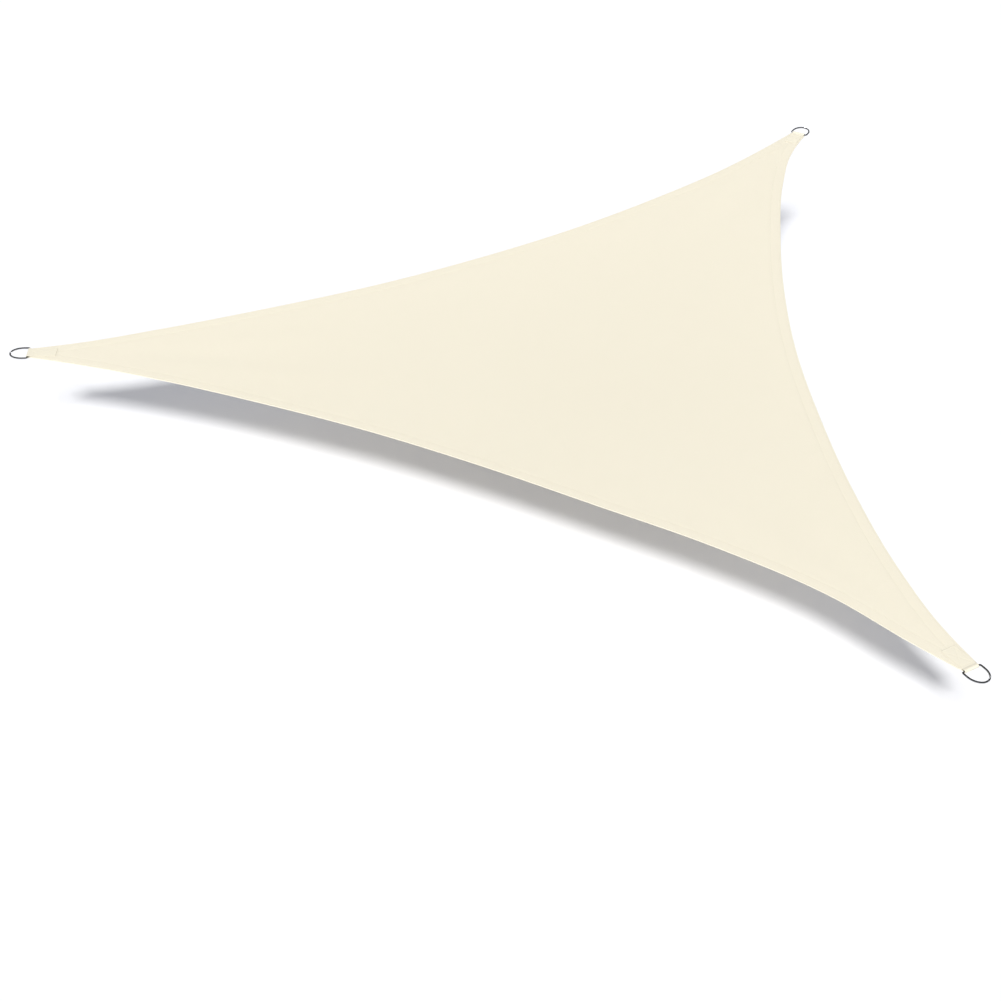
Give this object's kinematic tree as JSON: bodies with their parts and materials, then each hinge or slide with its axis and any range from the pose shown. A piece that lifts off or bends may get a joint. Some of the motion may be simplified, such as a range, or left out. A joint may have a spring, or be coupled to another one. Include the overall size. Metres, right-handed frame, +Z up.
{
  "type": "triangular shade sail",
  "caption": "Taut triangular shade sail of plain cream cloth with hollow-cut hemmed edges and a steel D-ring held by a webbing loop at each corner.",
  "frame": {"origin": "inside the bow of the left ring, where a hook bears when the sail is pulled taut, at the middle of the wire's height", "axes": "+X from that ring along the sail's middle, through its centre to the edge between the other two rings; +Y from the near ring to the far ring, along that edge; +Z up, away from the ground, out of the sail's upper face"},
  "size_m": [2.6116, 3.0066, 0.0347],
  "materials": {
    "cream_cloth": "plain fine weave, matt, one even cream",
    "cream_webbing": "ribbed polyester strap in the cloth's cream",
    "ring_steel": "polished stainless wire"
  },
  "bodies": {
    "root": {"sail_cloth": "cream_cloth", "left_webbing_loop": "cream_webbing", "far_webbing_loop": "cream_webbing", "near_webbing_loop": "cream_webbing", "left_ring": "ring_steel", "far_ring": "ring_steel", "near_ring": "ring_steel"}
  },
  "joints": []
}
